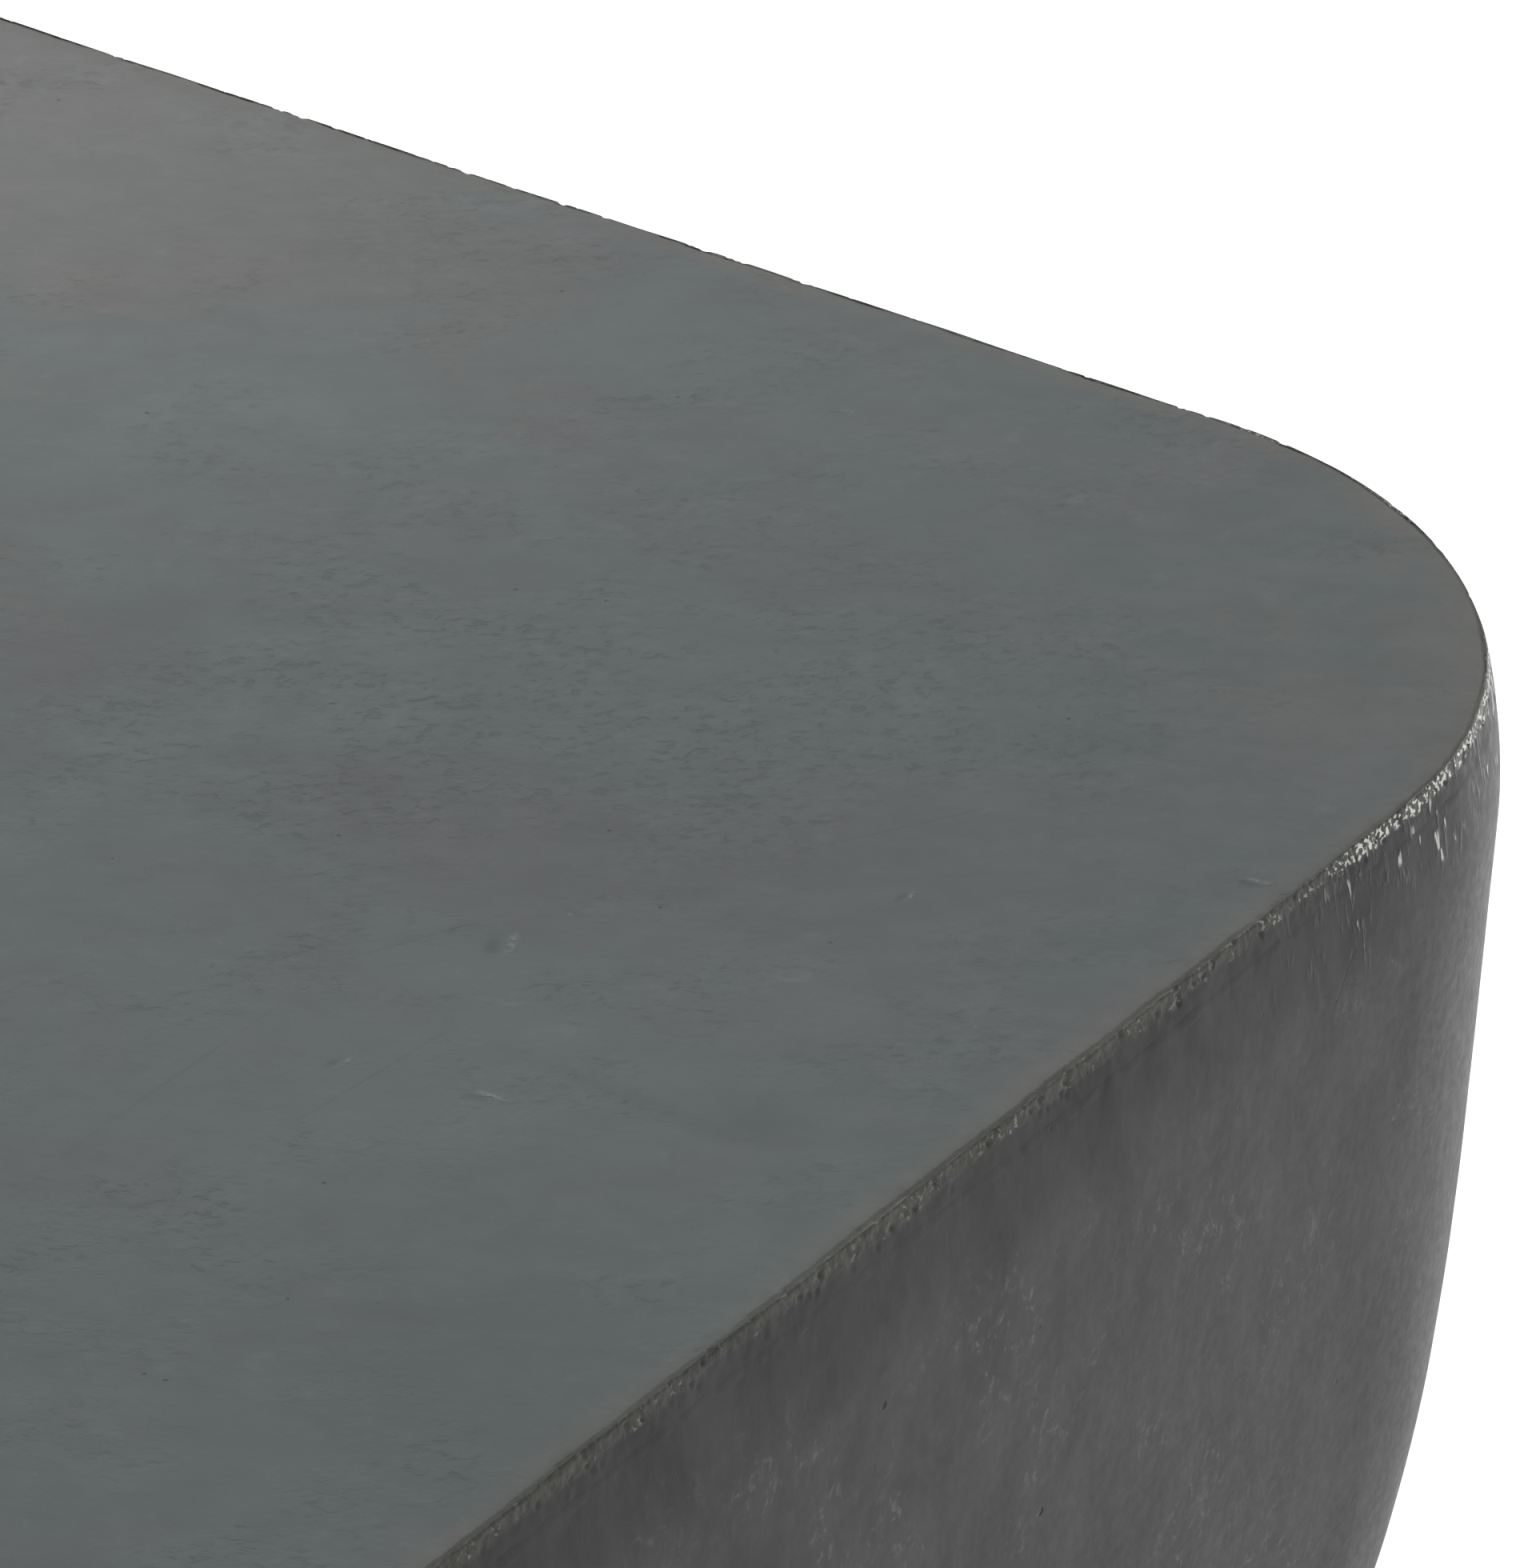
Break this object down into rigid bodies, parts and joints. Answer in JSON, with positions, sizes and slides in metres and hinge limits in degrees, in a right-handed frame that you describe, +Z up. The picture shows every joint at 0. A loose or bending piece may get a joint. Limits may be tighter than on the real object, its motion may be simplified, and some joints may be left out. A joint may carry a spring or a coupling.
{
  "type": "cast concrete coffee table",
  "caption": "Low square table of dark cast concrete: hollow body with rounded corners and sides that curve in to a narrow base, hand-trowelled flat top, levelling feet.",
  "frame": {"origin": "on the floor, under the middle of the table, with the four levelling feet screwed fully in", "axes": "+Z up; X and Y along the table's sides"},
  "size_m": [0.8102, 0.8102, 0.4],
  "materials": {
    "trowelled_concrete": "satin",
    "cast_concrete": "satin",
    "mortar": "matte",
    "plywood": "matte",
    "zinc_steel": "satin",
    "brass": "satin",
    "nylon": "matte",
    "rubber": "matte"
  },
  "bodies": {
    "table": {"top_slab": "trowelled_concrete", "mortar_bed": "mortar", "side_shell": "cast_concrete", "base_board": "plywood", "board_screw_1": "zinc_steel", "board_washer_1": "zinc_steel", "board_insert_1": "brass", "board_screw_2": "zinc_steel", "board_washer_2": "zinc_steel", "board_insert_2": "brass", "board_screw_3": "zinc_steel", "board_washer_3": "zinc_steel", "board_insert_3": "brass", "board_screw_4": "zinc_steel", "board_washer_4": "zinc_steel", "board_insert_4": "brass", "board_screw_5": "zinc_steel", "board_washer_5": "zinc_steel", "board_insert_5": "brass", "board_screw_6": "zinc_steel", "board_washer_6": "zinc_steel", "board_insert_6": "brass", "board_screw_7": "zinc_steel", "board_washer_7": "zinc_steel", "board_insert_7": "brass", "board_screw_8": "zinc_steel", "board_washer_8": "zinc_steel", "board_insert_8": "brass", "front_left_foot_insert": "brass", "front_right_foot_insert": "brass", "back_right_foot_insert": "brass", "back_left_foot_insert": "brass"},
    "front_left_pad": {"front_left_foot_pad": "nylon", "front_left_foot_sole": "rubber"},
    "front_left_stud": {"front_left_foot_stud": "zinc_steel"},
    "front_right_pad": {"front_right_foot_pad": "nylon", "front_right_foot_sole": "rubber"},
    "front_right_stud": {"front_right_foot_stud": "zinc_steel"},
    "back_right_pad": {"back_right_foot_pad": "nylon", "back_right_foot_sole": "rubber"},
    "back_right_stud": {"back_right_foot_stud": "zinc_steel"},
    "back_left_pad": {"back_left_foot_pad": "nylon", "back_left_foot_sole": "rubber"},
    "back_left_stud": {"back_left_foot_stud": "zinc_steel"}
  },
  "joints": [
    {"name": "front_left_foot_height", "type": "slide", "parent": "table", "child": "front_left_pad", "axis": [0, 0, -1], "range_m": [0, 0.01]},
    {"name": "front_left_foot_turn", "type": "hinge", "parent": "front_left_pad", "child": "front_left_stud", "pos_m": [-0.284, -0.284, 0], "axis": [0, 0, -1], "range_deg": [0, 2401]},
    {"name": "front_right_foot_height", "type": "slide", "parent": "table", "child": "front_right_pad", "axis": [0, 0, -1], "range_m": [0, 0.01]},
    {"name": "front_right_foot_turn", "type": "hinge", "parent": "front_right_pad", "child": "front_right_stud", "pos_m": [0.284, -0.284, 0], "axis": [0, 0, -1], "range_deg": [0, 2401]},
    {"name": "back_right_foot_height", "type": "slide", "parent": "table", "child": "back_right_pad", "axis": [0, 0, -1], "range_m": [0, 0.01]},
    {"name": "back_right_foot_turn", "type": "hinge", "parent": "back_right_pad", "child": "back_right_stud", "pos_m": [0.284, 0.284, 0], "axis": [0, 0, -1], "range_deg": [0, 2401]},
    {"name": "back_left_foot_height", "type": "slide", "parent": "table", "child": "back_left_pad", "axis": [0, 0, -1], "range_m": [0, 0.01]},
    {"name": "back_left_foot_turn", "type": "hinge", "parent": "back_left_pad", "child": "back_left_stud", "pos_m": [-0.284, 0.284, 0], "axis": [0, 0, -1], "range_deg": [0, 2401]}
  ],
  "couplings": [
    {"joint": "front_left_foot_turn", "follows": "front_left_foot_height", "rad_per_m": 4188.8},
    {"joint": "front_right_foot_turn", "follows": "front_right_foot_height", "rad_per_m": 4188.8},
    {"joint": "back_right_foot_turn", "follows": "back_right_foot_height", "rad_per_m": 4188.8},
    {"joint": "back_left_foot_turn", "follows": "back_left_foot_height", "rad_per_m": 4188.8}
  ]
}
